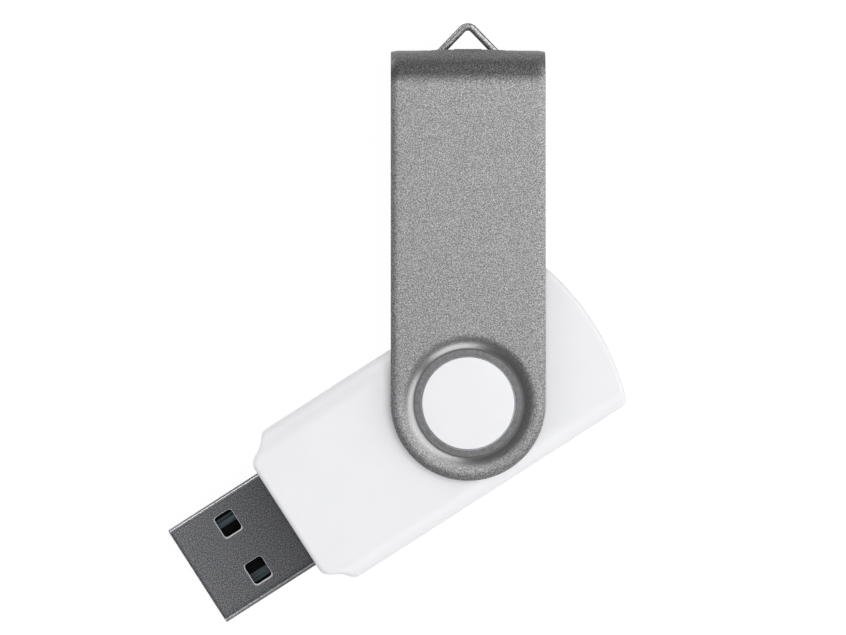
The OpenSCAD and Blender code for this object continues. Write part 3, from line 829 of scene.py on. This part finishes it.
def clip_mesh():
    arm_len = clip_reach - bend_r
    mid_r = bend_r - sheet / 2
    bend_len = mid_r * math.pi / 2
    wall_half = mid_z - bend_r
    middle = arm_len + bend_len + wall_half

    flat_half_w = clip_half_w - shoulder_w
    right_xs = list(np.linspace(0, window_in, 6))
    right_xs += list(np.linspace(window_in, window_out, 9)[1:])
    right_xs += list(np.linspace(window_out, flat_half_w, 8)[1:])
    right_xs += list(np.linspace(flat_half_w, clip_half_w - edge_lattice, 5)[1:]) + [clip_half_w]
    across = [-x for x in right_xs[::-1]] + right_xs[1:]
    rows = list(np.linspace(clip_half_w, arm_len, 28))
    rows += list(np.linspace(arm_len, middle - window_half, 22)[1:])
    rows += list(np.linspace(middle - window_half, middle, 9)[1:])

    def solid_cell(x, along):
        return not (along > middle - window_half and window_in < abs(x) < window_out)

    blank = Blank()
    blank.lattice(across, rows, solid_cell)
    # round end: loops from the hole out to the outline and to the arm's first row
    side_steps, end_steps = 16, 64
    border = [(clip_half_w, clip_half_w * i / side_steps) for i in range(side_steps)]
    border += [(x, clip_half_w) for x in across[::-1]]
    border += [(-clip_half_w, clip_half_w * (1 - (i + 1) / side_steps)) for i in range(side_steps)]
    for i in range(1, end_steps):
        a = math.pi + math.pi * i / end_steps
        border.append((clip_half_w * math.cos(a), clip_half_w * math.sin(a)))
    radii = [hole_r, hole_r + 0.2, hole_r + 0.5]
    radii += list(np.linspace(dish_floor_r - 0.3, dish_brow_r - 0.1, 30))
    loops = []
    for r in radii:
        loops.append([(r * x / math.hypot(x, y), r * y / math.hypot(x, y)) for x, y in border])
    # outside the dish the loops spread to the outline, closer together along its edge
    drawn = 1 - edge_lattice / clip_half_w
    within = [(x * drawn, y * (0.965 if y > 0 else drawn)) for x, y in border]
    circle = loops[-1]
    for share in (0.18, 0.36, 0.54, 0.7, 0.82, 0.92, 1):
        loops.append([
            (a + (c - a) * share, b + (d - b) * share) for (a, b), (c, d) in zip(circle, within)])
    blank.collar(loops + [border])
    # the lower arm is the same, past the middle of the folded end
    half_points = list(blank.points)
    for ids in list(blank.faces):
        blank.face([(half_points[i][0], 2 * middle - half_points[i][1]) for i in ids])

    def on_hole(x, along):
        return min(math.hypot(x, along), math.hypot(x, 2 * middle - along)) < hole_r + 0.1

    def on_window(x, along):
        return abs(along - middle) < window_half + 0.1 and abs(x) < window_out + 0.1

    bm = cut_sheet(blank, sheet, [
        (lambda x, along: not on_hole(x, along) and not on_window(x, along), edge_round, 5),
        (on_hole, punched_round, 3),
        (on_window, punched_round, 2)])

    # the pressed dish: its steepest place is near the floor, and it eases off to the brow
    dish_r = np.linspace(dish_floor_r, dish_brow_r, 400)
    rising = (dish_r - dish_floor_r) / (dish_steep_r - dish_floor_r)
    easing = np.clip((dish_brow_r - dish_r) / (dish_brow_r - dish_steep_r), 0, 1) ** 1.4
    slope = np.where(dish_r < dish_steep_r, rising, easing)
    height = np.concatenate([[0], np.cumsum((slope[1:] + slope[:-1]) / 2 * np.diff(dish_r))])
    steepness = (arm_mid_z - dish_mid_z) / height[-1]

    def dish_profile(r):
        """Height and lean of the sheet's middle layer at a radius."""
        level = dish_mid_z + steepness * float(np.interp(r, dish_r, height))
        fall = float(np.interp(r, dish_r, slope)) if r < dish_brow_r else 0.0
        return level, math.atan(steepness * fall)

    def folded(x, along, h):
        """Folds a point of the flat sheet, h from its middle layer, into the clip's shape."""
        lower = along > middle
        s = 2 * middle - along if lower else along
        r = math.hypot(x, s)
        inset = clip_half_w - (abs(x) if s > 0 else r)
        if h > 0:
            h -= shoulder_drop * (h / (sheet / 2)) * max(1 - inset / shoulder_w, 0) ** 2
        if s < arm_len:
            y, z = s, arm_mid_z + h
            if r < clip_half_w:
                level, lean = dish_profile(r)
                grow = 1 - h * math.sin(lean) / max(r, 1e-6)
                x, y, z = x * grow, s * grow, level + h * math.cos(lean)
        elif s < arm_len + bend_len:
            a = (s - arm_len) / mid_r
            y = arm_len + (mid_r + h) * math.sin(a)
            z = mid_z - bend_r + (mid_r + h) * math.cos(a)
        else:
            y, z = clip_reach - sheet / 2 + h, middle - s
        over_corner = y - (clip_reach - plan_corner_r)
        if over_corner > 0 and abs(x) > plan_corner_from:
            drawn_in = plan_corner_r - math.sqrt(max(plan_corner_r ** 2 - over_corner ** 2, 0))
            past = (abs(x) - plan_corner_from) * (1 - drawn_in)
            x = math.copysign(plan_corner_from + past, x)
        if y > arm_len:
            over = max(abs(x) - strap_half_w, 0) / strap_fade
            rise = max(abs(z) - strap_half_h, 0) / strap_fade
            y += strap_rise * math.exp(-over ** 2 - rise ** 2)
            over = max(abs(x) - brow_half_w, 0) / brow_fade
            rise = (abs(z) - window_half - 0.1) / brow_h
            y += brow_rise * math.exp(-over ** 2 - rise ** 2)
        return x, y, (-z if lower else z)

    for vert in bm.verts:
        x, y, z = folded(*vert.co)
        vert.co = (clip_right * x + clip_ahead * y + Vector((0, 0, z + mid_z))) * mm
    return finished_mesh(bm, "clip_mesh")


def blasted_finish():
    """Grey blasted grain, darker and finer on the floor and slope of each dish, with a painted
    highlight on the hole's edge and painted shade round the fold."""
    finish, shader = new_finish("clip_metal", (0.33, 0.33, 0.335), 0.34, metallic=1.0)
    place = place_in_mm(finish)
    level = node(finish, "VectorMath", {0: place, 1: (1, 1, 0)}, operation="MULTIPLY")
    reach = node(finish, "VectorMath", {0: level.outputs["Vector"]}, operation="LENGTH")
    from_axis = reach.outputs["Value"]
    on_slope = spread(finish, from_axis, 0, 1, dish_floor_r - 0.1, dish_floor_r + 0.1)
    blasted = spread(finish, from_axis, 0, 1, dish_floor_r + 0.3, dish_floor_r + 1.5)
    # painted highlight: a pale bluish ring on the hole's edge
    painted_hole_highlight = spread(finish, from_axis, 1, 0, hole_r + 0.07, hole_r + 0.12)
    grain = spread(finish, noise(finish, 8.5, 1.0, 0.6), 0, 1, 0.38, 0.80)
    # the dish's floor is coloured darker, and its slope a plain darker tone until the grain returns
    # near the brow
    darker_floor_tone = spread(finish, noise(finish, 4.0, 2.0), -0.12, 0.06, 0.3, 0.7)
    slope_grain = node(finish, "Mix", {0: blasted, 2: 0.2, 3: grain}, data_type="FLOAT")
    fine = node(finish, "Mix", {
        0: on_slope, 2: darker_floor_tone, 3: slope_grain.outputs[0]}, data_type="FLOAT")
    tone = mixed(
        finish, fine.outputs[0], (0.21, 0.21, 0.211), (0.72, 0.72, 0.725), clamp_factor=False)
    along = node(finish, "VectorMath", {0: place, 1: tuple(clip_ahead)}, operation="DOT_PRODUCT")
    # painted shade: the clip is coloured darker round the fold
    fold_from = clip_reach - bend_r
    painted_fold_shade = spread(finish, along.outputs["Value"], 1, 0.48, fold_from, fold_from + 1.3)
    drawn = mixed(finish, 1.0, tone, painted_fold_shade, blend_type="MULTIPLY")
    color = mixed(finish, painted_hole_highlight, drawn, (0.80, 0.84, 0.88))
    finish.node_tree.links.new(color, shader.inputs["Base Color"])
    roughen(finish, shader, spread(finish, blasted, 0.3, 0.36, 0, 1))
    pits = node(finish, "Math", {0: noise(finish, 5.0, 2.0), 1: blasted}, operation="MULTIPLY")
    emboss(finish, shader, pits.outputs[0], 0.03)
    return finish


finish_piece(
    "swivel_clip_sheet", clip_mesh(), blasted_finish(), "clip", ["swivel_clip"])


# Keyring loop: bright drawn wire bent into a triangle, whose two ends meet behind the strap.
# Its top and underside are painted bright as light, and its flanks painted darker as shade, the
# inner one less than the outer.

wire_r = 0.415
wire_sides = 24
loop_half = 4.26
leg_angle = math.radians(46)
apex_r, foot_r = 0.84, 0.5
wire_split = 0.1


def loop_path():
    """Centre line of the wire in millimetres, in the loop's own plane, from end to end."""
    foot = Vector((loop_half - foot_r * math.tan((math.pi - leg_angle) / 2), foot_r))
    apex = Vector((0, loop_half * math.tan(leg_angle) - apex_r / math.cos(leg_angle)))
    side = [Vector((wire_split / 2, 0)), Vector((foot.x * 0.5, 0))]
    arc_steps = 12
    for centre, r, start, turn in (
            (foot, foot_r, -math.pi / 2, math.pi - leg_angle),
            (apex, apex_r, math.pi / 2 - leg_angle, leg_angle)):
        for i in range(arc_steps + 1):
            a = start + turn * i / arc_steps
            side.append(centre + r * Vector((math.cos(a), math.sin(a))))
    side = [point for i, point in enumerate(side) if i == 0 or (point - side[i - 1]).length > 1e-4]
    return side + [Vector((-point.x, point.y)) for point in side[-2::-1]]


def wire_sweep(finish):
    """Node group that sweeps a round wire along a centre line made of edges."""
    group = bpy.data.node_groups.new("wire_sweep", "GeometryNodeTree")
    sockets = group.interface
    sockets.new_socket("Geometry", in_out="INPUT", socket_type="NodeSocketGeometry")
    sockets.new_socket("Wire Radius", in_out="INPUT", socket_type="NodeSocketFloat")
    sockets.new_socket("Sides", in_out="INPUT", socket_type="NodeSocketInt")
    sockets.new_socket("Geometry", in_out="OUTPUT", socket_type="NodeSocketGeometry")
    add = group.nodes.new
    begin, end = add("NodeGroupInput"), add("NodeGroupOutput")
    curve, ring = add("GeometryNodeMeshToCurve"), add("GeometryNodeCurvePrimitiveCircle")
    sweep, real = add("GeometryNodeCurveToMesh"), add("GeometryNodeRealizeInstances")
    paint = add("GeometryNodeSetMaterial")
    sweep.inputs["Fill Caps"].default_value = True
    paint.inputs["Material"].default_value = finish
    for source, target in (
            (begin.outputs["Geometry"], curve.inputs["Mesh"]),
            (begin.outputs["Wire Radius"], ring.inputs["Radius"]),
            (begin.outputs["Sides"], ring.inputs["Resolution"]),
            (curve.outputs["Curve"], sweep.inputs["Curve"]),
            (ring.outputs["Curve"], sweep.inputs["Profile Curve"]),
            (sweep.outputs["Mesh"], real.inputs["Geometry"]),
            (real.outputs["Geometry"], paint.inputs["Geometry"]),
            (paint.outputs["Geometry"], end.inputs["Geometry"])):
        group.links.new(source, target)
    return group


def swept_wire(finish):
    points = [
        (clip_right * at.x + clip_ahead * (loop_axis_y + at.y) + Vector((0, 0, mid_z))) * mm
        for at in loop_path()]
    line = bpy.data.meshes.new("loop_line")
    line.from_pydata(points, [(i, i + 1) for i in range(len(points) - 1)], [])
    holder = bpy.data.objects.new("loop_line", line)
    bpy.context.scene.collection.objects.link(holder)
    modifier = holder.modifiers.new("sweep", "NODES")
    modifier.node_group = wire_sweep(finish)
    values = {"Wire Radius": wire_r * mm, "Sides": wire_sides}
    for item in modifier.node_group.interface.items_tree:
        if item.in_out == "INPUT" and item.name in values:
            modifier[item.identifier] = values[item.name]
    shown = holder.evaluated_get(bpy.context.evaluated_depsgraph_get())
    mesh = bpy.data.meshes.new_from_object(shown)
    holder.modifiers.clear()
    bpy.data.objects.remove(holder)
    # welded, so that the wire is one closed solid
    bm = bmesh.new()
    bm.from_mesh(mesh)
    bmesh.ops.remove_doubles(bm, verts=bm.verts, dist=1e-7)
    return finished_mesh(bm, "wire_mesh")


def wire_finish():
    """Speckled wire, painted bright above and below its middle as light, and painted darker on
    its flanks as shade, the inner one less so.
    """
    finish, shader = new_finish("loop_wire", (0.62, 0.62, 0.62), 0.38, metallic=1.0)
    speckle = spread(finish, noise(finish, 5.0, 2.0), 0, 1, 0.36, 0.64)
    tone = mixed(finish, speckle, (0.28, 0.28, 0.28), (0.64, 0.64, 0.64))
    height = node(finish, "SeparateXYZ", {0: place_in_mm(finish)}).outputs["Z"]
    from_middle = node(finish, "Math", {0: height, 1: mid_z}, operation="SUBTRACT")
    from_middle = node(finish, "Math", {0: from_middle.outputs[0]}, operation="ABSOLUTE")
    # painted light on the top and underside, painted shade on the flanks
    painted_top_light = spread(finish, from_middle.outputs[0], 0, 1, 0.2, 0.34)
    outward = node(finish, "VectorMath", {
        0: node(finish, "TexCoord", {}).outputs["Normal"], 1: tuple(clip_ahead)},
        operation="DOT_PRODUCT")
    painted_flank_shade = spread(finish, outward.outputs["Value"], 0.5, 0.1, -0.3, 0.3)
    painted_light_and_shade = node(finish, "Mix", {0: painted_top_light, 2: painted_flank_shade, 3: 1.0}, data_type="FLOAT").outputs[0]
    color = mixed(finish, 1.0, tone, painted_light_and_shade, blend_type="MULTIPLY")
    finish.node_tree.links.new(color, shader.inputs["Base Color"])
    emboss(finish, shader, noise(finish, 4.0), 0.05)
    return finish


loop_wire = wire_finish()
finish_piece(
    "keyring_loop_wire", swept_wire(loop_wire), loop_wire, "loop",
    ["keyring_loop"], sharp=60)


# Studio: a pale table. Metal shows a soft box overhead, one low at the clip's right, one in
# front and a narrow strip at its far left; three more light only the matt plastic. The camera
# looks straight down.

floor_half = 1.5
floor_drop = 0.00002
floor_mesh = bpy.data.meshes.new("table_top")
floor_corners = [(-1, -1), (1, -1), (1, 1), (-1, 1)]
floor_mesh.from_pydata(
    [(x * floor_half, y * floor_half, -floor_drop) for x, y in floor_corners], [], [(0, 1, 2, 3)])
floor = bpy.data.objects.new("table_top", floor_mesh)
bpy.context.scene.collection.objects.link(floor)


def table_finish():
    """Pale paper that shows as white, and still takes a little of the drive's shadow."""
    finish, shader = new_finish("table_paper", (0.88, 0.88, 0.88), 0.9)
    shader.inputs["Specular IOR Level"].default_value = 0.1
    glow = node(finish, "Emission", {"Color": (1, 1, 1, 1), "Strength": 1.04})
    path = node(finish, "LightPath", {})
    seen_direct = node(finish, "Math", {
        0: path.outputs["Is Camera Ray"], 1: path.outputs["Is Transmission Ray"]},
        operation="MAXIMUM")
    in_gloss = node(finish, "Math", {
        0: path.outputs["Is Glossy Ray"], 1: 0.4}, operation="MULTIPLY")
    shown = node(finish, "Math", {
        0: seen_direct.outputs[0], 1: in_gloss.outputs[0]}, operation="MAXIMUM")
    share = node(finish, "Math", {0: shown.outputs[0], 1: 0.92}, operation="MULTIPLY")
    mix = node(finish, "MixShader", {
        0: share.outputs[0], 1: shader.outputs["BSDF"], 2: glow.outputs["Emission"]})
    output = finish.node_tree.nodes["Material Output"]
    finish.node_tree.links.new(mix.outputs["Shader"], output.inputs["Surface"])
    return finish


floor_mesh.materials.append(table_finish())

pivot = Vector((swivel["pos_m"][0], swivel["pos_m"][1], 0))


def soft_box(name, bearing, tilt, distance, wide, high, radiance, lights="gloss"):
    """A lamp of even brightness that faces the pivot. Bearing turns from the clip's right
    towards its closed end, tilt is from straight above; radiance 1 reads as white. It either
    shows in glossy surfaces or lights matt ones."""
    lamp = bpy.data.lights.new(name, "AREA")
    lamp.shape = "RECTANGLE"
    lamp.size, lamp.size_y = wide, high
    lamp.energy = radiance * math.pi * wide * high
    box = bpy.data.objects.new(name, lamp)
    turn, lean = math.radians(bearing), math.radians(tilt)
    level = clip_right * math.cos(turn) + clip_ahead * math.sin(turn)
    box.location = pivot + (level * math.sin(lean) + Vector((0, 0, math.cos(lean)))) * distance
    box.rotation_euler = (pivot - box.location).to_track_quat("-Z", "Y").to_euler()
    box.visible_camera = False
    box.visible_diffuse = lights == "matt"
    box.visible_glossy = lights == "gloss"
    bpy.context.scene.collection.objects.link(box)


soft_box("overhead_box", 52, 18, 0.34, 0.26, 0.32, 1.1)
soft_box("right_box", 25, 56, 0.40, 0.92, 0.22, 2.1)
soft_box("front_box", -75, 60, 0.40, 0.30, 0.18, 2.4)
soft_box("left_strip", 123, 84, 0.40, 0.24, 0.05, 6.5)
soft_box("overhead_fill", -10, 12, 0.5, 0.36, 0.36, 3.2, lights="matt")
soft_box("right_fill", -25, 68, 0.5, 0.5, 0.35, 1.6, lights="matt")
soft_box("left_fill", 145, 72, 0.5, 0.5, 0.3, 1.6, lights="matt")


def studio_air():
    """Even light for matt surfaces, with a darker room for what glossy ones show."""
    world = bpy.data.worlds.new("studio_air")
    world.use_nodes = True
    bpy.context.scene.world = world
    tree = world.node_tree
    background = tree.nodes["Background"]
    background.inputs["Color"].default_value = (0.98, 0.985, 1, 1)
    path = tree.nodes.new("ShaderNodeLightPath")
    strength = tree.nodes.new("ShaderNodeMapRange")
    strength.inputs["To Min"].default_value = 0.23
    strength.inputs["To Max"].default_value = 0.35
    tree.links.new(path.outputs["Is Diffuse Ray"], strength.inputs["Value"])
    tree.links.new(strength.outputs["Result"], background.inputs["Strength"])


studio_air()

view_distance, view_width, view_z = 0.6, 0.09327, 0.00765
view_left, view_ahead = 0.00496, 0.00941
camera_data = bpy.data.cameras.new("view")
camera_data.sensor_width = 36
camera_data.lens = camera_data.sensor_width * view_distance / view_width
camera = bpy.data.objects.new("view", camera_data)
camera.location = pivot - clip_right * view_left + clip_ahead * view_ahead
camera.location.z = view_z + view_distance
camera.rotation_euler = (0, 0, math.atan2(clip_right.y, clip_right.x))
bpy.context.scene.collection.objects.link(camera)
bpy.context.scene.camera = camera
bpy.context.scene.view_settings.view_transform = "Standard"
